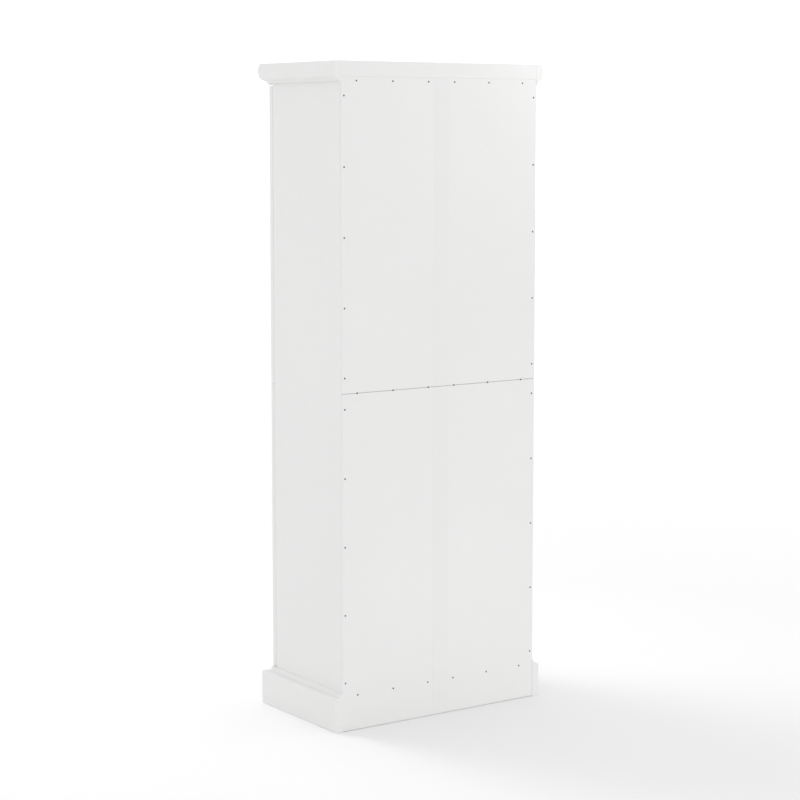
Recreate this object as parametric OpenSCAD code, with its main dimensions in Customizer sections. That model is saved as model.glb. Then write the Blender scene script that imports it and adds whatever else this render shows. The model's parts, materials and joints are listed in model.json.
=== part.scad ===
// Tall free-standing pantry cabinet: a panel carcass with a plinth and a crown, four framed doors
// on concealed hinges, adjustable shelves, and a back of four thin leaves held by nails.
// It stands on the three boards of its plinth; the carcass itself hangs just clear of the floor.
// The front faces -Y, +X is the cabinet's own right side seen from the front, and Z = 0 is the floor.

/* [Overall] */
// Width over the two side panels
body_width = 661; // [560:1:800]
// Depth over the crown, from its front to the back plane
overall_depth = 390; // [330:1:460]
// Height from the floor to the top of the crown
overall_height = 1829; // [1700:1:1950]
// Thickness of the carcass boards and the shelves
board = 18; // [16:0.5:19]

/* [Crown and plinth] */
// How far the crown and the plinth stand out past the sides and the doors
overhang = 23; // [20:1:30]
// Height of the crown moulding
crown_height = 58.5; // [50:0.5:70]
// Height of the flat board that closes the crown at the rear
crown_back_height = 41.5; // [36:0.5:44]
// Top of the plinth moulding above the floor
plinth_top = 110; // [105:1:130]
// Height of the ogee that eases the plinth into the sides
plinth_ease = 20; // [12:1:30]
// Gap under the side panels, the rear board and the back leaves
base_lift = 1; // [0.5:0.5:4]

/* [Shelving] */
// Height of the middle line of the fixed shelf, where the upper and lower doors meet
middle_line = 936.3; // [900:0.1:980]
// Height of the middle line of the bottom panel
bottom_line = 98; // [96:1:110]
// Spacing of the rows of shelf holes
hole_pitch = 32; // [25:1:40]
// Rows of shelf holes above and below each adjustable shelf
spare_rows = 2; // [1:1:3]

/* [Doors] */
// Thickness of the door frames
door_thickness = 18; // [17:0.5:19]
// Width of the stiles and rails
frame_width = 60; // [50:1:75]
// Gap behind the closed doors
door_gap = 1.6; // [1.5:0.1:3]
// Gap between the two doors of a pair, and above and below them
reveal = 3; // [2:0.5:4]
// Diameter of the knob's head
knob_diameter = 30; // [24:1:34]
// How far the knob stands out of the door
knob_length = 22; // [18:1:22]

/* [Back] */
// Thickness of the four leaves of the back
leaf_thickness = 3.2; // [2.5:0.1:4]
// Width of the tape over the seam between the left and right leaves
tape_width = 50; // [40:1:60]
// Diameter of a nail head
nail_head = 5; // [4:0.5:6]

/* [Hidden] */
$fn = 48;
fit = 0.5;
arris = 1;
hinge_arris = 2;

half_width = body_width / 2;
inner_half = half_width - board;
outer_half = half_width + overhang;
y_back = overall_depth / 2;
y_crown_front = -y_back;
y_door_front = y_crown_front + overhang;
y_door_back = y_door_front + door_thickness;
y_front = y_door_back + door_gap;
leaf_setback = 0.6;
y_leaf = y_back - leaf_setback - leaf_thickness;

z_carcass_top = overall_height - crown_back_height;
z_crown = overall_height - crown_height;
z_bottom_panel = bottom_line - board / 2;
z_middle = middle_line - board / 2;
z_top_panel = z_carcass_top - board;

// Doors: [name, side, z of the lower edge, z of the upper edge]
z_doors_low = plinth_top + reveal;
z_doors_high = z_crown - reveal;
middle_gap = 3.5;
knob_inset = 90;
DOORS = [
    ["door_upper_left", -1, middle_line + middle_gap / 2, z_doors_high],
    ["door_upper_right", 1, middle_line + middle_gap / 2, z_doors_high],
    ["door_lower_left", -1, z_doors_low, middle_line - middle_gap / 2],
    ["door_lower_right", 1, z_doors_low, middle_line - middle_gap / 2],
];
door_width = half_width - reveal / 2;
groove_width = 6;
groove_depth = 10;
groove_t = (door_thickness - groove_width) / 2;
bevel = 5;
cut_over = 1;

// Concealed hinges: s runs in from the door's outer edge, t runs forward from its back face
hinge_inset = 100;
pivot_s = 7;
pivot_t = 9.8;
cup_s = 20.5;
cup_radius = 17.5;
cup_depth = 13;
cup_wall = 0.8;
cup_clearance = 0.1;
flange_thickness = 1.2;
arm_sheet = 1.8;
arm_back = -58;
pin_radius = 1;
pin_half = 10.5;
pin_clearance = 0.3;
knuckle_radius = 2;
arm_rise = board + 6;

// Shelves
shelf_front = y_front + 10;
shelf_back = y_leaf - 5;
hole_inset = 37;
hole_radius = 2.6;
hole_depth = 11;
pin_shaft_radius = 2.5;
pin_drop = 5;
hole_columns = [y_front + hole_inset, y_leaf - hole_inset];
upper_clear = z_top_panel - z_middle - board;
lower_clear = z_middle - z_bottom_panel - board;
SHELVES = [
    ["shelf_upper_1", z_middle + board + upper_clear / 3],
    ["shelf_upper_2", z_middle + board + upper_clear * 2 / 3],
    ["shelf_lower_1", z_bottom_panel + board + lower_clear / 3],
    ["shelf_lower_2", z_bottom_panel + board + lower_clear * 2 / 3],
];

// Back leaves and their nails
leaf_edge = 0.3;
seam_half = 0.5;
cross_seam_half = 0.6;
tape_thickness = 0.3;
nail_height = 0.5;
row_start = 44;
row_step = 118.5;
nails_per_half_row = 3;
row_drop = 2;
column_x = 321;
column_end = 42.7;
column_step = 189.4;
nails_per_column = 5;

// Crown and plinth
crown_board = 18;
crown_board_drop = 2;
curve_steps = 8;

DOOR_PARTS = ["stile_hinge", "stile_knob", "rail_top", "rail_bottom", "panel", "knob", "hinge_cups"];
CARCASS = [
    "side_panel_left", "side_panel_right", "bottom_panel", "middle_shelf", "top_panel",
    "plinth_front_rail", "plinth_front", "plinth_left", "plinth_right", "plinth_back_rail",
    "crown_front_rail", "crown_back_rail", "crown_top_board",
    "crown_moulding_front", "crown_moulding_left", "crown_moulding_right",
    "back_upper_left", "back_upper_right", "back_lower_left", "back_lower_right",
    "back_seam_tape", "back_nails", "shelf_pins",
    "hinge_arms", "hinge_plates", "door_bumpers",
];

// ---- helpers ----

// A box between two corners
module span(low, high) {
    translate(low) cube(high - low);
}

// Copies its children to the left when side is negative, and leaves them on the right otherwise
module on_side(side) {
    if (side < 0) {
        mirror([1, 0, 0]) children();
    } else {
        children();
    }
}

// Turns (s, t, z), measured from a door's outer edge and back face, into the cabinet's axes
module door_axes(side) {
    on_side(side) translate([half_width, y_door_back, 0]) rotate([0, 0, 180]) children();
}

// ---- carcass ----

module side_panel(side) {
    color("gainsboro") on_side(side) difference() {
        span([inner_half, y_front, base_lift], [half_width, y_leaf, z_carcass_top]);
        for (shelf = SHELVES, row = [-spare_rows:spare_rows], y = hole_columns) {
            translate([inner_half - fit, y, shelf[1] - pin_drop + row * hole_pitch])
                rotate([0, 90, 0]) cylinder(h = hole_depth + fit, r = hole_radius);
        }
    }
}

module fixed_board(z) {
    color("whitesmoke") span([-inner_half, y_front, z], [inner_half, y_leaf, z + board]);
}

module adjustable_shelf(z) {
    color("whitesmoke") difference() {
        span([-inner_half + fit, shelf_front, z], [inner_half - fit, shelf_back, z + board]);
        for (dz = [0, board]) {
            translate([-half_width, shelf_front, z + dz])
                rotate([45, 0, 0]) translate([0, -arris / 2, -arris / 2]) cube([body_width, arris, arris]);
        }
    }
}

// One bracket pin: a shaft in the side panel, an upright flange and a tab under the shelf
module shelf_pin() {
    tab_length = 12;
    tab_thickness = 1.6;
    flange_thickness = 1.5;
    half_span = 5;
    shaft_length = 9;
    rotate([0, 90, 0]) translate([pin_drop, 0, -fit])
        cylinder(h = shaft_length + fit, r = pin_shaft_radius);
    span([-flange_thickness, -half_span, -2 * pin_drop], [0, half_span, 0]);
    span([-tab_length, -half_span, -tab_thickness], [0, half_span, 0]);
}

module shelf_pins() {
    color("silver") for (side = [-1, 1], shelf = SHELVES, y = hole_columns) {
        on_side(side) translate([inner_half, y, shelf[1]]) shelf_pin();
    }
}

// ---- plinth and crown ----

// Half of a cosine wave from 0 to 1, the S of an ogee
function ease(a) = (1 - cos(180 * a)) / 2;

// Profiles: x is how far out of the body's face, y is the height.
// The plinth has a rounded shoulder, a narrow ledge and a cove that runs up to a thin lip.
function plinth_profile() =
    let (foot = 1, round_x = 0.3 * overhang, round_z = 0.35 * plinth_ease, lip_x = 0.1 * overhang,
         cove_x = 0.5 * overhang, cove_z = 0.55 * plinth_ease, shoulder = plinth_top - plinth_ease)
    concat(
        [[0, 0], [overhang - foot, 0], [overhang, foot]],
        [for (i = [0:curve_steps]) [overhang - round_x * (1 - cos(90 * i / curve_steps)),
                                    shoulder + round_z * sin(90 * i / curve_steps)]],
        [for (i = [0:curve_steps]) [lip_x + cove_x * (1 - sin(90 * i / curve_steps)),
                                    shoulder + round_z + cove_z * (1 - cos(90 * i / curve_steps))]],
        [[lip_x, plinth_top], [0, plinth_top]]
    );

// The crown has a bead and a quirk at its foot, an ogee, and a slightly swelled face
function crown_profile() =
    let (bead = 2.5, quirk = 1.5, cove = 16, swell = 3, lip = 2, face = overhang - swell,
         start = bead + quirk, rise = crown_height - start - cove - lip)
    concat(
        [[0, 0], [bead, 0], [bead, bead], [quirk, bead], [quirk, start], [bead + quirk, start]],
        [for (i = [0:curve_steps]) [bead + quirk + (face - bead - quirk) * ease(i / curve_steps),
                                    start + quirk / 2 + (cove - quirk / 2) * i / curve_steps]],
        [for (i = [1:curve_steps]) [face + swell * sin(180 * i / curve_steps),
                                    start + cove + rise * i / curve_steps]],
        [[face - lip, crown_height], [0, crown_height]]
    );

// A moulding along one side, mitred at its front corner
module side_moulding(side, z) {
    on_side(side) intersection() {
        translate([half_width, y_back, z]) rotate([90, 0, 0]) linear_extrude(overall_depth) children();
        linear_extrude(overall_height + 1) polygon([
            [half_width, y_door_front], [outer_half, y_crown_front],
            [outer_half, y_back], [half_width, y_back],
        ]);
    }
}

// A moulding along the front, mitred at both ends
module front_moulding(z) {
    intersection() {
        translate([-outer_half, y_door_front, z]) rotate([90, 0, 90])
            linear_extrude(2 * outer_half) mirror([1, 0]) children();
        linear_extrude(overall_height + 1) polygon([
            [-half_width, y_door_front], [-outer_half, y_crown_front],
            [outer_half, y_crown_front], [half_width, y_door_front],
        ]);
    }
}

module plinth_side(side) {
    color("gainsboro") side_moulding(side, 0) polygon(plinth_profile());
}

module plinth_front() {
    color("gainsboro") front_moulding(0) polygon(plinth_profile());
}

module crown_side(side) {
    color("gainsboro") side_moulding(side, z_crown) polygon(crown_profile());
}

module crown_front() {
    color("gainsboro") front_moulding(z_crown) polygon(crown_profile());
}

module front_rail(z_low, z_high) {
    color("gainsboro") span([-half_width, y_door_front, z_low], [half_width, y_front, z_high]);
}

module plinth_back_rail() {
    color("gainsboro") span([-inner_half, y_leaf - board, base_lift], [inner_half, y_leaf, z_bottom_panel]);
}

module crown_back_rail() {
    color("gainsboro")
        span([-half_width, y_back - board, z_carcass_top], [half_width, y_back, overall_height]);
}

module crown_top_board() {
    z = overall_height - crown_board_drop;
    color("gainsboro") span([-half_width, y_front, z - crown_board], [half_width, y_back - board, z]);
}

// ---- back ----

module back_leaf(side, z_low, z_high) {
    color("lightgray") on_side(side)
        span([seam_half, y_leaf, z_low], [half_width - leaf_edge, y_leaf + leaf_thickness, z_high]);
}

module back_seam_tape() {
    y = y_leaf + leaf_thickness;
    color("silver") {
        span([-tape_width / 2, y, base_lift],
             [tape_width / 2, y + tape_thickness, middle_line - cross_seam_half]);
        span([-tape_width / 2, y, middle_line + cross_seam_half],
             [tape_width / 2, y + tape_thickness, z_carcass_top]);
    }
}

// A low domed head that lies on the back, facing +Y
module nail(x, z) {
    translate([x, y_leaf + leaf_thickness, z]) rotate([-90, 0, 0]) rotate_extrude($fn = 24) polygon([
        [0, 0], [nail_head / 2, 0], [nail_head / 2, nail_height / 3],
        [nail_head / 3, nail_height], [0, nail_height],
    ]);
}

module back_nails() {
    color("dimgray") {
        for (side = [-1, 1]) {
            for (z = [bottom_line, middle_line, z_top_panel + board / 2 - row_drop],
                 k = [0:nails_per_half_row - 1]) {
                nail(side * (row_start + k * row_step), z);
            }
            for (half = [-1, 1], k = [0:nails_per_column - 1]) {
                nail(side * column_x, middle_line + half * (column_end + k * column_step));
            }
        }
    }
}

// ---- doors ----

// The opening of a door's frame, bevelled outward to the front face: exact prisms across each other
module sight_bevel(height) {
    near = frame_width;
    far_s = door_width - frame_width;
    far_z = height - frame_width;
    flat_t = door_thickness - bevel;
    intersection() {
        linear_extrude(height) polygon([
            [near, flat_t], [near - bevel - cut_over, door_thickness + cut_over],
            [far_s + bevel + cut_over, door_thickness + cut_over], [far_s, flat_t],
        ]);
        rotate([90, 0, 90]) linear_extrude(door_width) polygon([
            [flat_t, near], [door_thickness + cut_over, near - bevel - cut_over],
            [door_thickness + cut_over, far_z + bevel + cut_over], [flat_t, far_z],
        ]);
    }
}

// Outline of a stile across its length, with small arrises on the outer edge
module stile_outline(width, back_arris) {
    polygon([
        [back_arris, 0], [width, 0], [width, door_thickness], [arris, door_thickness],
        [0, door_thickness - arris], [0, back_arris],
    ]);
}

module panel_groove(height) {
    reach = frame_width - groove_depth;
    span([reach, groove_t, reach], [door_width - reach, groove_t + groove_width, height - reach]);
}

module door_stile_hinge(side, z_low, z_high) {
    height = z_high - z_low;
    color("whitesmoke") door_axes(side) translate([0, 0, z_low]) difference() {
        linear_extrude(height) stile_outline(frame_width, hinge_arris);
        stile_grooves(height, frame_width - groove_depth, frame_width + cut_over);
        sight_bevel(height);
        for (z = [hinge_inset, height - hinge_inset]) {
            translate([cup_s, -cut_over, z])
                rotate([-90, 0, 0]) cylinder(h = cup_depth + cut_over, r = cup_radius + cup_clearance);
        }
    }
}

module door_stile_knob(side, z_low, z_high) {
    height = z_high - z_low;
    color("whitesmoke") door_axes(side) translate([0, 0, z_low]) difference() {
        translate([door_width, 0, 0]) mirror([1, 0, 0])
            linear_extrude(height) stile_outline(frame_width, arris);
        stile_grooves(height, door_width - frame_width - cut_over, door_width - frame_width + groove_depth);
        sight_bevel(height);
    }
}

// The groove that runs the full length of a stile for the panel and the rails' tongues
module stile_grooves(height, s_low, s_high) {
    span([s_low, groove_t, -cut_over], [s_high, groove_t + groove_width, height + cut_over]);
}

module door_rail(side, z_low, z_high, at_top) {
    height = z_high - z_low;
    low = at_top ? height - frame_width : 0;
    color("whitesmoke") door_axes(side) translate([0, 0, z_low]) difference() {
        union() {
            span([frame_width, 0, low], [door_width - frame_width, door_thickness, low + frame_width]);
            span([frame_width - groove_depth, groove_t, low],
                 [door_width - frame_width + groove_depth, groove_t + groove_width, low + frame_width]);
        }
        panel_groove(height);
        sight_bevel(height);
    }
}

module door_panel(side, z_low, z_high) {
    color("white") door_axes(side) translate([0, 0, z_low]) panel_groove(z_high - z_low);
}

// A turned knob with a base rose, a waisted neck and a domed head
module door_knob(side, z) {
    head = knob_diameter / 2;
    neck = 6;
    base = 9;
    base_rim = 1.5;
    waist = 5;
    dome = 7;
    color("dimgray") door_axes(side) translate([door_width - frame_width / 2, door_thickness, z])
        rotate([-90, 0, 0]) rotate_extrude() polygon(concat(
            [[0, 0], [base, 0], [base, base_rim], [neck + base_rim / 2, 2 * base_rim], [neck, waist]],
            [for (i = [0:curve_steps]) [neck + (head - neck) * ease(i / curve_steps),
                                        dome + (knob_length - 2 * dome) * i / curve_steps]],
            [for (i = [1:curve_steps]) [head * cos(90 * i / curve_steps),
                                        knob_length - dome + dome * sin(90 * i / curve_steps)]]
        ));
}

// ---- hinges ----

// The cup, its flange with two ears for screws, and the pin across the cup
module hinge_cup() {
    flange_radius = cup_radius + 1;
    flange_near = 6;
    ear_near = 22;
    ear_far = 37;
    ear_height = 30;
    difference() {
        union() {
            translate([cup_s, 0, 0]) rotate([-90, 0, 0]) cylinder(h = cup_depth, r = cup_radius);
            intersection() {
                union() {
                    translate([cup_s, -flange_thickness, 0]) rotate([-90, 0, 0]) {
                        cylinder(h = flange_thickness, r = flange_radius);
                        cylinder(h = flange_thickness + cut_over, r = cup_radius);
                    }
                    span([ear_near, -flange_thickness, -ear_height], [ear_far, 0, ear_height]);
                }
                span([flange_near, -flange_thickness, -ear_height],
                     [cup_s + flange_radius + 1, cut_over, ear_height]);
            }
        }
        translate([cup_s, -2 * flange_thickness, 0]) rotate([-90, 0, 0])
            cylinder(h = cup_depth - cup_wall + 2 * flange_thickness, r = cup_radius - cup_wall);
    }
    translate([pivot_s, pivot_t, -pin_half]) cylinder(h = 2 * pin_half, r = pin_radius, $fn = 24);
}

module door_hinge_cups(side, z_low, z_high) {
    color("silver") for (z = [z_low + hinge_inset, z_high - hinge_inset]) {
        door_axes(side) translate([0, 0, z]) hinge_cup();
    }
}

// The sheet arm, from the plate forward and out to the knuckle, seen from above
module arm_outline() {
    nose = pivot_t - arm_sheet / 2;
    corner = 6.3;
    miter = 0.8;
    polygon([
        [arm_rise, arm_back], [arm_rise + arm_sheet, arm_back],
        [arm_rise + arm_sheet, nose - corner + arm_sheet / 2],
        [arm_rise - corner + miter, nose + arm_sheet], [pivot_s, nose + arm_sheet],
        [pivot_s, nose], [arm_rise - corner, nose], [arm_rise, nose - corner],
    ]);
}

// The part of the arm between two values of s, t above t_low, of the given half height
module arm_length(s_low, s_high, t_low, t_high, half) {
    translate([0, 0, -half]) linear_extrude(2 * half) intersection() {
        arm_outline();
        translate([s_low, t_low]) square([s_high - s_low, t_high - t_low]);
    }
}

// The arm widens in three steps from the knuckle back to the plate, where side flanges stiffen it
module hinge_arm() {
    knuckle_half = 4;
    crank_half = 5.5;
    body_half = 8;
    knuckle_end = 14;
    crank_start = 12;
    body_front = -3;
    stiffener = 1.6;
    stiffener_depth = 3.5;
    stiffener_front = -12;
    arm_reach = arm_rise + 2 * arm_sheet;
    difference() {
        union() {
            translate([pivot_s, pivot_t, -knuckle_half])
                cylinder(h = 2 * knuckle_half, r = knuckle_radius, $fn = 32);
            arm_length(0, knuckle_end, 0, door_thickness, knuckle_half);
            arm_length(crank_start, arm_reach, arm_back / 3, door_thickness, crank_half);
            arm_length(0, arm_reach, arm_back, body_front, body_half);
            for (edge = [-1, 1]) {
                z = edge > 0 ? body_half - stiffener : -body_half;
                span([arm_rise - stiffener_depth, arm_back, z],
                     [arm_rise + arm_sheet / 2, stiffener_front, z + stiffener]);
            }
        }
        translate([pivot_s, pivot_t, -knuckle_half - cut_over])
            cylinder(h = 2 * (knuckle_half + cut_over), r = pin_radius + pin_clearance, $fn = 32);
    }
}

module hinge_arms() {
    color("silver") for (door = DOORS, z = [door[2] + hinge_inset, door[3] - hinge_inset]) {
        door_axes(door[1]) translate([0, 0, z]) hinge_arm();
    }
}

// The mounting plate on the side panel: wings for two screws and a rib that carries the arm
module hinge_plate() {
    wing_back = -46;
    wing_front = -28;
    wing_half = 24;
    wing_sheet = 2;
    rib_half = 6;
    rib_front = -14;
    boss_z = 18;
    boss_radius = 3.6;
    boss_height = 1.6;
    span([board, wing_back, -wing_half], [board + wing_sheet, wing_front, wing_half]);
    span([board, arm_back - wing_sheet, -rib_half], [arm_rise, rib_front, rib_half]);
    for (z = [-boss_z, boss_z]) {
        translate([board + wing_sheet, (wing_back + wing_front) / 2, z])
            rotate([0, 90, 0]) cylinder(h = boss_height, r = boss_radius, $fn = 24);
    }
}

module hinge_plates() {
    color("silver") for (door = DOORS, z = [door[2] + hinge_inset, door[3] - hinge_inset]) {
        door_axes(door[1]) translate([0, 0, z]) hinge_plate();
    }
}

// Soft dots on the front edge of the fixed shelf that meet the free edges of the doors
module door_bumpers() {
    clearance = 0.3;
    from_line = 5.5;
    from_centre = 40;
    radius = 3;
    color("lightgray") for (side = [-1, 1], half = [-1, 1]) {
        translate([side * from_centre, y_front, middle_line + half * from_line])
            rotate([90, 0, 0]) cylinder(h = door_gap - clearance, r = radius);
    }
}

// ---- parts ----

side_panel(-1);  // side_panel_left
side_panel(1);  // side_panel_right
fixed_board(z_bottom_panel);  // bottom_panel
fixed_board(z_middle);  // middle_shelf
fixed_board(z_top_panel);  // top_panel
front_rail(base_lift, plinth_top);  // plinth_front_rail
plinth_front();
plinth_side(-1);  // plinth_left
plinth_side(1);  // plinth_right
plinth_back_rail();
front_rail(z_crown, overall_height);  // crown_front_rail
crown_back_rail();
crown_top_board();
crown_front();  // crown_moulding_front
crown_side(-1);  // crown_moulding_left
crown_side(1);  // crown_moulding_right
back_leaf(-1, middle_line + cross_seam_half, z_carcass_top);  // back_upper_left
back_leaf(1, middle_line + cross_seam_half, z_carcass_top);  // back_upper_right
back_leaf(-1, base_lift, middle_line - cross_seam_half);  // back_lower_left
back_leaf(1, base_lift, middle_line - cross_seam_half);  // back_lower_right
back_seam_tape();
back_nails();
shelf_pins();
hinge_arms();
hinge_plates();
door_bumpers();

for (shelf = SHELVES) {
    adjustable_shelf(shelf[1]);
}

for (door = DOORS) {
    name = door[0];
    side = door[1];
    low = door[2];
    high = door[3];
    knob_z = low > middle_line ? low + knob_inset : high - knob_inset;
    door_stile_hinge(side, low, high);
    door_stile_knob(side, low, high);
    door_rail(side, low, high, true);
    door_rail(side, low, high, false);
    door_panel(side, low, high);
    door_knob(side, knob_z);
    door_hinge_cups(side, low, high);
}
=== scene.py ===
"""Pantry cabinet seen from behind: looks, screws, floor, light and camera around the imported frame."""
import json
import math

import bmesh
import bpy
from mathutils import Matrix, Vector


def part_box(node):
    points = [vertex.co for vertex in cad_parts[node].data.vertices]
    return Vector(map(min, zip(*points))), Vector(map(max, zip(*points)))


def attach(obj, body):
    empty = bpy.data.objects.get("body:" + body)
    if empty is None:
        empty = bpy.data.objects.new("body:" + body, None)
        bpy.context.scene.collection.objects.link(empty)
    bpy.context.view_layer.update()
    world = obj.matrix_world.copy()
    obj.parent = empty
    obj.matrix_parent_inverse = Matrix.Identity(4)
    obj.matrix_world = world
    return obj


MM = 0.001
CARCASS = "carcass"

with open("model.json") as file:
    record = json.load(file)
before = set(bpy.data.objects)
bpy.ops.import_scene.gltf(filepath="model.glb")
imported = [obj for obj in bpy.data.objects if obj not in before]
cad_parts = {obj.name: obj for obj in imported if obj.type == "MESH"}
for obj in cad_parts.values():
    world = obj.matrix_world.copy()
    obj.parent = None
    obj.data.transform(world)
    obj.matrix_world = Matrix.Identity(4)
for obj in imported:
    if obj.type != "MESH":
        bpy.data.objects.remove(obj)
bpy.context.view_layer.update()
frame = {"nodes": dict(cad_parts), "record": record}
nodes = frame["nodes"]
joints = frame["record"]["behaviour"]["joints"]


# ---- node material helpers ----

class Recipe:
    """A material under construction: a Principled shader and short calls that add nodes to it."""

    def __init__(self, name, color, roughness, metallic=0.0):
        self.material = bpy.data.materials.new(name)
        self.material.use_nodes = True
        self.material.diffuse_color = (*color, 1.0)
        self.tree = self.material.node_tree
        self.shader = self.tree.nodes["Principled BSDF"]
        self.shader.inputs["Base Color"].default_value = (*color, 1.0)
        self.shader.inputs["Roughness"].default_value = roughness
        self.shader.inputs["Metallic"].default_value = metallic
        self.color = color
        self.height = None

    def add(self, kind, **settings):
        node = self.tree.nodes.new(kind)
        for key, value in settings.items():
            setattr(node, key, value)
        return node

    def link(self, output, target):
        self.tree.links.new(output, target)

    def place(self, scale=(1.0, 1.0, 1.0), centre=(0.0, 0.0, 0.0)):
        """Object coordinates in metres, moved to a centre and stretched."""
        where = self.add("ShaderNodeTexCoord")
        mapping = self.add("ShaderNodeMapping")
        mapping.inputs["Scale"].default_value = scale
        mapping.inputs["Location"].default_value = [-c * s for c, s in zip(centre, scale)]
        self.link(where.outputs["Object"], mapping.inputs["Vector"])
        return mapping.outputs["Vector"]

    def noise(self, scale, detail=2.0, stretch=(1.0, 1.0, 1.0), roughness=0.5, distortion=0.0):
        texture = self.add("ShaderNodeTexNoise")
        texture.inputs["Scale"].default_value = scale
        texture.inputs["Detail"].default_value = detail
        texture.inputs["Roughness"].default_value = roughness
        texture.inputs["Distortion"].default_value = distortion
        self.link(self.place(stretch), texture.inputs["Vector"])
        return texture.outputs["Fac"]

    def remap(self, value, low, high, from_low=0.3, from_high=0.7):
        node = self.add("ShaderNodeMapRange")
        bounds = {"From Min": from_low, "From Max": from_high, "To Min": low, "To Max": high}
        for key, number in bounds.items():
            node.inputs[key].default_value = number
        self.link(value, node.inputs["Value"])
        return node.outputs["Result"]

    def tint(self, value, low, high, from_low=0.3, from_high=0.7):
        """Blends the base colour between two shades of itself, over what is already there."""
        mix = self.add("ShaderNodeMix", data_type="RGBA", blend_type="MULTIPLY")
        mix.inputs["Factor"].default_value = 1.0
        socket = self.shader.inputs["Base Color"]
        if socket.is_linked:
            self.link(socket.links[0].from_socket, mix.inputs["A"])
        else:
            mix.inputs["A"].default_value = (*self.color, 1.0)
        grey = self.add("ShaderNodeCombineColor")
        shade = self.remap(value, low, high, from_low, from_high)
        for channel in ("Red", "Green", "Blue"):
            self.link(shade, grey.inputs[channel])
        self.link(grey.outputs["Color"], mix.inputs["B"])
        self.link(mix.outputs["Result"], socket)

    def gloss(self, value, low, high):
        self.link(self.remap(value, low, high), self.shader.inputs["Roughness"])

    def bump(self, value, depth, strength=1.0):
        """Adds relief of that depth in metres over any relief already there."""
        node = self.add("ShaderNodeBump")
        node.inputs["Strength"].default_value = strength
        node.inputs["Distance"].default_value = depth
        self.link(value, node.inputs["Height"])
        if self.height:
            self.link(self.height, node.inputs["Normal"])
        self.height = node.outputs["Normal"]
        self.link(self.height, self.shader.inputs["Normal"])


def rolled_paint(name, color, roughness=0.42, peel=0.05 * MM):
    """Rolled satin paint on board: broad tone drift, a fine mottle and orange peel."""
    m = Recipe(name, color, roughness)
    m.tint(m.noise(2.2, 3.0), 0.985, 1.0)
    m.tint(m.noise(38.0, 4.0, roughness=0.6), 0.992, 1.0)
    m.gloss(m.noise(24.0, 3.0), roughness - 0.06, roughness + 0.08)
    m.bump(m.noise(420.0, 2.0), peel, 0.6)
    m.bump(m.noise(1900.0, 2.0), peel * 0.3, 0.5)
    m.shader.inputs["Specular IOR Level"].default_value = 0.4
    return m


def brushed_paint(name, color, along):
    """Satin paint on solid wood: the faint grain telegraphs through along one axis."""
    m = rolled_paint(name, color, 0.4, 0.03 * MM)
    stretch = [1.0 if axis == along else 22.0 for axis in "xyz"]
    m.bump(m.noise(14.0, 5.0, stretch, 0.65, 0.4), 0.05 * MM, 0.5)
    m.tint(m.noise(9.0, 4.0, stretch, 0.6), 0.985, 1.0)
    return m


def metal(name, color, roughness, stretch=(1.0, 1.0, 1.0), wear=0.9):
    m = Recipe(name, color, roughness, 1.0)
    m.tint(m.noise(160.0, 4.0, roughness=0.6), wear, 1.0)
    m.gloss(m.noise(220.0, 3.0, stretch), roughness - 0.08, roughness + 0.1)
    m.bump(m.noise(900.0, 3.0, stretch), 0.02 * MM, 0.4)
    return m


def turned_metal(name, color, centre):
    """Satin metal with the fine rings that a lathe leaves round the knob's own axis."""
    m = metal(name, color, 0.3)
    rings = m.add("ShaderNodeTexWave", wave_type="RINGS", rings_direction="Y", wave_profile="SIN")
    rings.inputs["Scale"].default_value = 520.0
    rings.inputs["Distortion"].default_value = 0.6
    m.link(m.place(centre=centre), rings.inputs["Vector"])
    m.bump(rings.outputs["Fac"], 0.012 * MM, 0.5)
    return m


def moulded(name, color, roughness, soft=0.0):
    m = Recipe(name, color, roughness)
    m.tint(m.noise(60.0, 3.0), 0.94, 1.0)
    m.gloss(m.noise(120.0, 3.0), roughness - 0.05, roughness + 0.1)
    m.bump(m.noise(1400.0, 2.0), 0.04 * MM, 0.5)
    m.shader.inputs["Subsurface Weight"].default_value = soft
    return m


def paper_tape(name, color):
    """Adhesive seam tape: fibres across it and slow ripples along it."""
    m = Recipe(name, color, 0.62)
    m.tint(m.noise(3.0, 3.0), 0.985, 1.0)
    m.tint(m.noise(700.0, 3.0, (0.3, 1.0, 1.0)), 0.97, 1.0)
    m.bump(m.noise(16.0, 2.0, (2.0, 1.0, 1.0)), 0.25 * MM, 0.35)
    m.bump(m.noise(1200.0, 2.0, (0.4, 1.0, 1.0)), 0.03 * MM, 0.5)
    return m


# ---- looks of the CAD nodes ----

WHITE = (0.8, 0.8, 0.795)
FOIL_WHITE = (0.79, 0.79, 0.785)
TAPE_WHITE = (0.798, 0.798, 0.793)
KNOB_METAL = (0.52, 0.51, 0.49)
board_paint = rolled_paint("board_paint", WHITE).material
shelf_foil = rolled_paint("shelf_foil", FOIL_WHITE, 0.36, 0.03 * MM).material
back_paint = rolled_paint("back_paint", WHITE, 0.55, 0.08 * MM).material
stile_paint = brushed_paint("stile_paint", WHITE, "z").material
rail_paint = brushed_paint("rail_paint", WHITE, "x").material
tape_paper = paper_tape("tape_paper", TAPE_WHITE).material
nail_steel = metal("nail_steel", (0.16, 0.16, 0.165), 0.5, wear=0.7).material
nickel = metal("nickel_plate", (0.62, 0.61, 0.59), 0.26, (1.0, 1.0, 12.0)).material
screw_steel = metal("screw_steel", (0.55, 0.55, 0.54), 0.3).material
bumper_rubber = moulded("bumper_rubber", (0.74, 0.75, 0.75), 0.35, soft=0.3).material

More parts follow.
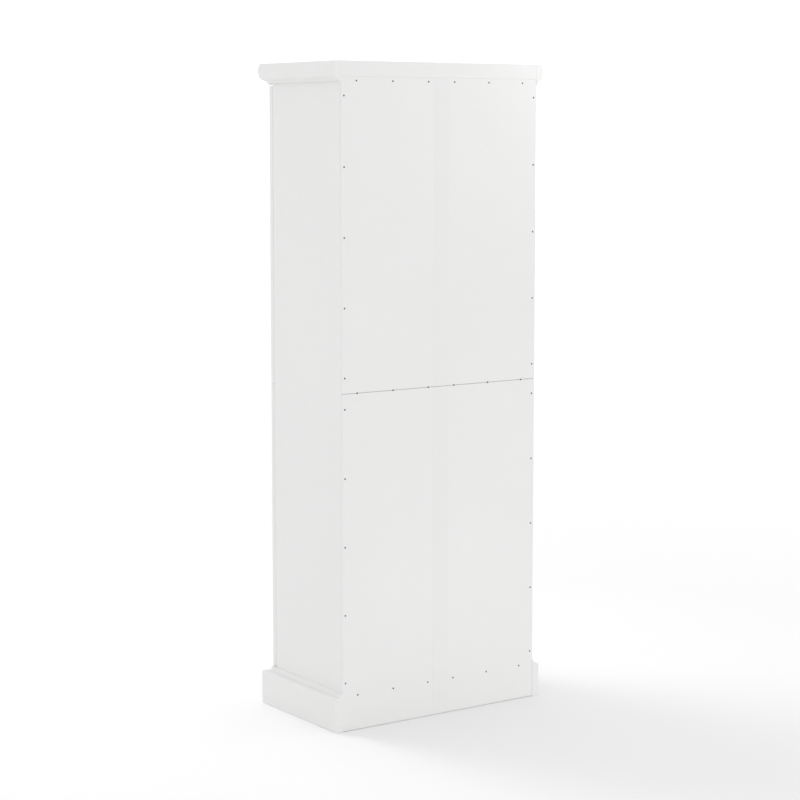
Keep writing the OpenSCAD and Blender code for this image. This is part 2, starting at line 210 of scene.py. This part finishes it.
# Which look a node takes and how far its edges are eased: the first name that it holds decides
LOOKS = [
    ("stile", stile_paint, 0.35 * MM),
    ("rail_top", rail_paint, 0.35 * MM),
    ("rail_bottom", rail_paint, 0.35 * MM),
    ("_panel", stile_paint, 0.3 * MM),
    ("hinge_cups", nickel, 0.15 * MM),
    ("hinge_arms", nickel, 0.2 * MM),
    ("hinge_plates", nickel, 0.2 * MM),
    ("shelf_pins", nickel, 0.2 * MM),
    ("nails", nail_steel, 0.0),
    ("tape", tape_paper, 0.0),
    ("back_upper", back_paint, 0.4 * MM),
    ("back_lower", back_paint, 0.4 * MM),
    ("bumpers", bumper_rubber, 0.5 * MM),
    ("shelf_", shelf_foil, 0.8 * MM),
]
CARCASS_PANELS = ("side_panel", "bottom_panel", "top_panel")
BOARD_EASE = 0.7 * MM
WELD_REACH = 0.002 * MM


def paint_node(node, material):
    node.data.materials.clear()
    node.data.materials.append(material)


def ease_edges(node, width):
    """Welds the seams of the imported mesh and rounds its sharp edges a little, all in modifiers.

    Without a width the node keeps its imported normals.
    """
    if not width:
        return
    normals = node.data.attributes.get("custom_normal")
    if normals:
        node.data.attributes.remove(normals)
    node.data.polygons.foreach_set("use_smooth", [True] * len(node.data.polygons))
    weld = node.modifiers.new("weld", "WELD")
    weld.merge_threshold = WELD_REACH
    bevel = node.modifiers.new("eased_edges", "BEVEL")
    bevel.width = width
    bevel.segments = 2
    bevel.limit_method = "ANGLE"
    bevel.angle_limit = math.radians(32)
    bevel.harden_normals = True
    bevel.use_clamp_overlap = True


for name, node in nodes.items():
    plain = name.startswith(CARCASS_PANELS)
    look = None if plain else next((row for row in LOOKS if row[0] in name), None)
    if name.endswith("_knob") and "stile" not in name:
        low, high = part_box(name)
        paint_node(node, turned_metal(name + "_metal", KNOB_METAL, (low + high) / 2).material)
    elif look:
        paint_node(node, look[1])
        ease_edges(node, look[2])
    else:
        paint_node(node, board_paint)
        ease_edges(node, BOARD_EASE)


# ---- screws ----

def lathe(profile, segments=40):
    """A solid turned round Z from (radius, height) pairs that start and end on the axis."""
    shape = bmesh.new()
    rings = []
    for radius, height in profile:
        if radius:
            turns = [2 * math.pi * k / segments for k in range(segments)]
            points = [(radius * math.cos(a), radius * math.sin(a), height) for a in turns]
            rings.append([shape.verts.new(point) for point in points])
        else:
            rings.append([shape.verts.new((0.0, 0.0, height))])
    for low, high in zip(rings, rings[1:]):
        for k in range(segments):
            after = (k + 1) % segments
            under = [low[k % len(low)], low[after % len(low)]]
            over = [high[after % len(high)], high[k % len(high)]]
            shape.faces.new(list(dict.fromkeys(under + over)))
    return shape


def cross_cutter(reach, width, depth, top):
    """A tapered cross that is sunk from the height top to cut a screw's recess."""
    outline = []
    for quarter in range(4):
        turn = Matrix.Rotation(quarter * math.pi / 2, 3, "Z")
        arm = ((reach, -width / 2, 0.0), (reach, width / 2, 0.0), (width * 0.6, width * 0.6, 0.0))
        outline += [turn @ Vector(point) for point in arm]
    shape = bmesh.new()
    layers = []
    for height, scale in ((top - depth, 0.55), (top + depth, 1.45)):
        layers.append([shape.verts.new((p.x * scale, p.y * scale, height)) for p in outline])
    shape.faces.new(reversed(layers[0]))
    shape.faces.new(layers[1])
    for k in range(len(outline)):
        after = (k + 1) % len(outline)
        shape.faces.new((layers[0][k], layers[0][after], layers[1][after], layers[1][k]))
    return shape


def as_object(name, shape):
    mesh = bpy.data.meshes.new(name)
    shape.to_mesh(mesh)
    shape.free()
    piece = bpy.data.objects.new(name, mesh)
    bpy.context.scene.collection.objects.link(piece)
    return piece


def screw_head(name, profile, reach, width, depth):
    """One head with a cross recess cut into its top, as a mesh to copy from."""
    head = as_object(name, lathe([(r * MM, h * MM) for r, h in profile]))
    top = profile[-1][1] * MM
    cutter = as_object(name + "_cutter", cross_cutter(reach * MM, width * MM, depth * MM, top))
    cut = head.modifiers.new("recess", "BOOLEAN")
    cut.operation = "DIFFERENCE"
    cut.solver = "EXACT"
    cut.object = cutter
    evaluated = head.evaluated_get(bpy.context.evaluated_depsgraph_get())
    mesh = bpy.data.meshes.new_from_object(evaluated)
    bpy.data.objects.remove(head)
    bpy.data.objects.remove(cutter)
    return mesh


def place_screws(name, head, seats, material, body):
    """Copies one head onto every seat, as one piece; a seat is a point and where the head faces."""
    shape = bmesh.new()
    for turn, (point, facing) in enumerate(seats):
        copy = head.copy()
        spin = Matrix.Rotation(math.radians(17 + 41 * turn), 4, "Z")
        aim = Vector(facing).to_track_quat("Z", "Y").to_matrix().to_4x4()
        copy.transform(Matrix.Translation(point) @ aim @ spin)
        shape.from_mesh(copy)
        bpy.data.meshes.remove(copy)
    piece = as_object(name, shape)
    piece.data.materials.append(material)
    bevel = piece.modifiers.new("soft_edges", "BEVEL")
    bevel.width = 0.08 * MM
    bevel.segments = 2
    bevel.angle_limit = math.radians(35)
    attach(piece, body)


# Each head: its outline as (radius, height) pairs, then reach, width and depth of the recess
PAN_HEAD = screw_head(
    "pan_head", [(0, 0), (3.1, 0), (3.4, 0.3), (3.3, 0.8), (2.8, 1.2), (1.9, 1.45), (0, 1.5)],
    1.7, 0.75, 0.8)
FLAT_HEAD = screw_head(
    "flat_head", [(0, 0), (3.5, 0), (3.7, 0.15), (3.3, 0.45), (1.9, 0.7), (0, 0.75)],
    1.7, 0.75, 0.6)
GRUB_HEAD = screw_head(
    "grub_head", [(0, 0), (2.5, 0), (2.5, 0.7), (2.3, 0.9), (0, 0.9)],
    1.4, 0.7, 0.7)

# Millimetres from a hinge's axis: inward, back into the cabinet, and up and down for a pair
FLANGE_SCREW = (22.5, 11.0, 24.0)
PLATE_SCREW = (14.6, 46.8, 18.0)
ARM_SCREW = (18.8, 46.8)
ADJUSTING_SCREW = (18.8, 24.8)
# From the end of a door's upper or lower hinge cup to the middle of that hinge
CUP_EAR = 30 * MM

BACKWARD = (0.0, 1.0, 0.0)


def seat(axis, side, z, offset, half=0):
    """A point on a hinge: offset from its axis, above (half 1) or below (half -1) its middle."""
    rise = half * offset[2] if half else 0.0
    return Vector((axis[0] - side * offset[0] * MM, axis[1] + offset[1] * MM, z + rise * MM))


plate_seats, arm_seats, adjusting_seats = [], [], []
for joint in joints:
    door = joint["child"]
    axis = joint["pos_m"]
    side = math.copysign(1.0, axis[0])
    inward = (-side, 0.0, 0.0)
    cups_low, cups_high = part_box(door + "_hinge_cups")
    flange_seats = []
    for z in (cups_low[2] + CUP_EAR, cups_high[2] - CUP_EAR):
        for half in (-1, 1):
            flange_seats.append((seat(axis, side, z, FLANGE_SCREW, half), BACKWARD))
            plate_seats.append((seat(axis, side, z, PLATE_SCREW, half), inward))
        arm_seats.append((seat(axis, side, z, ARM_SCREW), inward))
        adjusting_seats.append((seat(axis, side, z, ADJUSTING_SCREW), inward))
    place_screws(door + "_flange_screws", FLAT_HEAD, flange_seats, screw_steel, door)
    knob_low, knob_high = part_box(door + "_knob")
    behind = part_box(door + "_stile_knob")[1][1]
    middle = (Vector(knob_low) + Vector(knob_high)) / 2
    knob_seat = (Vector((middle.x, behind, middle.z)), BACKWARD)
    place_screws(door + "_knob_screw", PAN_HEAD, [knob_seat], screw_steel, door)
place_screws("plate_screws", PAN_HEAD, plate_seats, screw_steel, CARCASS)
place_screws("arm_screws", PAN_HEAD, arm_seats, screw_steel, CARCASS)
place_screws("adjusting_screws", GRUB_HEAD, adjusting_seats, screw_steel, CARCASS)
for head in (PAN_HEAD, FLAT_HEAD, GRUB_HEAD):
    bpy.data.meshes.remove(head)


# ---- floor, light and camera ----

# The floor's colour beside the cabinet, darkened there as painted shade, and the distances in metres
# over which that painted shade fades to white
NEAR_FLOOR_PAINTED_SHADE = 0.887
PAINTED_SHADE_FADE = (1.8, 5.0)
FLOOR_HALF = 30.0


def studio_floor():
    """A wide sheet of pale paper with painted shade round the cabinet, which fades to plain white a few
    metres from the cabinet.
    """
    mesh = bpy.data.meshes.new("floor")
    corners = [(x * FLOOR_HALF, y * FLOOR_HALF, 0) for x, y in ((-1, -1), (1, -1), (1, 1), (-1, 1))]
    mesh.from_pydata(corners, [], [(0, 1, 2, 3)])
    floor = bpy.data.objects.new("floor", mesh)
    bpy.context.scene.collection.objects.link(floor)
    m = Recipe("floor_paper_painted_shade", (0.99, 0.99, 0.99), 0.9)
    distance = m.add("ShaderNodeVectorMath", operation="LENGTH")
    m.link(m.place(), distance.inputs["Vector"])
    # Painted shade: the floor's colour is darker near the cabinet and fades to white further out
    m.tint(distance.outputs["Value"], NEAR_FLOOR_PAINTED_SHADE, 1.0, *PAINTED_SHADE_FADE)
    m.tint(m.noise(0.8, 2.0), 0.997, 1.0)
    m.bump(m.noise(300.0, 2.0), 0.05 * MM, 0.2)
    m.shader.inputs["Specular IOR Level"].default_value = 0.0
    floor.data.materials.append(m.material)
    return floor


def white_world(level, tilt):
    """White all round; tilt is how much the light grows towards each axis."""
    world = bpy.data.worlds.new("white_studio")
    bpy.context.scene.world = world
    world.use_nodes = True
    tree = world.node_tree
    where = tree.nodes.new("ShaderNodeTexCoord")
    dot = tree.nodes.new("ShaderNodeVectorMath")
    dot.operation = "DOT_PRODUCT"
    dot.inputs[1].default_value = tilt
    total = tree.nodes.new("ShaderNodeMath")
    total.operation = "ADD"
    total.inputs[1].default_value = level
    tree.links.new(where.outputs["Generated"], dot.inputs[0])
    tree.links.new(dot.outputs["Value"], total.inputs[0])
    tree.nodes["Background"].inputs["Color"].default_value = (1.0, 1.0, 1.0, 1.0)
    tree.links.new(total.outputs["Value"], tree.nodes["Background"].inputs["Strength"])


def lamp(name, kind, energy, settings, place=(0.0, 0.0, 0.0), towards=(0.0, 0.0, -1.0)):
    data = bpy.data.lights.new(name, kind)
    data.energy = energy
    for key, value in settings.items():
        setattr(data, key, value)
    light = bpy.data.objects.new(name, data)
    light.location = place
    light.rotation_mode = "QUATERNION"
    light.rotation_quaternion = Vector(towards).to_track_quat("-Z", "Y")
    bpy.context.scene.collection.objects.link(light)
    return light


def reach(light, floor, state):
    """Lets a light fall on the floor only (INCLUDE), or on everything but the floor (EXCLUDE)."""
    group = bpy.data.collections.new(light.name + "_reach")
    group.objects.link(floor)
    group.collection_objects[0].light_linking.link_state = state
    light.light_linking.receiver_collection = group


def photo_camera():
    """Stands behind the cabinet on its right, about at eye height, and looks slightly down."""
    place = Vector((3.427, 4.930, 1.643))
    azimuth = math.radians(145.23)
    pitch = math.radians(6.62)
    camera = bpy.data.objects.new("camera", bpy.data.cameras.new("camera"))
    camera.data.sensor_width = 36.0
    camera.data.lens = 95.02
    camera.data.shift_y = -0.03
    camera.data.clip_end = 200.0
    level = math.cos(pitch)
    ahead = Vector((-math.sin(azimuth) * level, math.cos(azimuth) * level, -math.sin(pitch)))
    camera.location = place
    camera.rotation_mode = "QUATERNION"
    camera.rotation_quaternion = ahead.to_track_quat("-Z", "Y")
    bpy.context.scene.collection.objects.link(camera)
    bpy.context.scene.camera = camera


floor = studio_floor()
white_world(1.13, (-0.08, 0.0, -0.30))

# Over the front, for the floor alone: the paper burns out to white round a soft shadow
floor_key = lamp(
    "floor_key", "AREA", 16.5, {"shape": "DISK", "size": 1.0}, (0.41, -1.2, 3.1), (-0.1, 0.4, -1.0))
floor_key.visible_camera = False
reach(floor_key, floor, "INCLUDE")

# A weak slant from above the front right, which gives the door frames a lit and a shaded side
lamp("rake", "SUN", 0.25, {"angle": math.radians(25)}, towards=(-0.29, 0.95, -1.15))

# Two small fills for the cabinet alone: behind its upper left corner, and low behind it
corner_fill = lamp("corner_fill", "POINT", 1.8, {"shadow_soft_size": 0.2}, (-0.6, 0.5, 1.95))
corner_fill.visible_camera = False
reach(corner_fill, floor, "EXCLUDE")
low_fill = lamp("low_fill", "POINT", 3.2, {"shadow_soft_size": 0.2}, (-0.25, 1.0, 0.1))
low_fill.visible_camera = False
reach(low_fill, floor, "EXCLUDE")

# An even wash from the whole sky for the floor alone, which carries its white to the horizon
floor_wash = lamp("floor_wash", "SUN", 0.16, {"angle": math.radians(180)})
reach(floor_wash, floor, "INCLUDE")

photo_camera()
bpy.context.scene.view_settings.view_transform = "Standard"
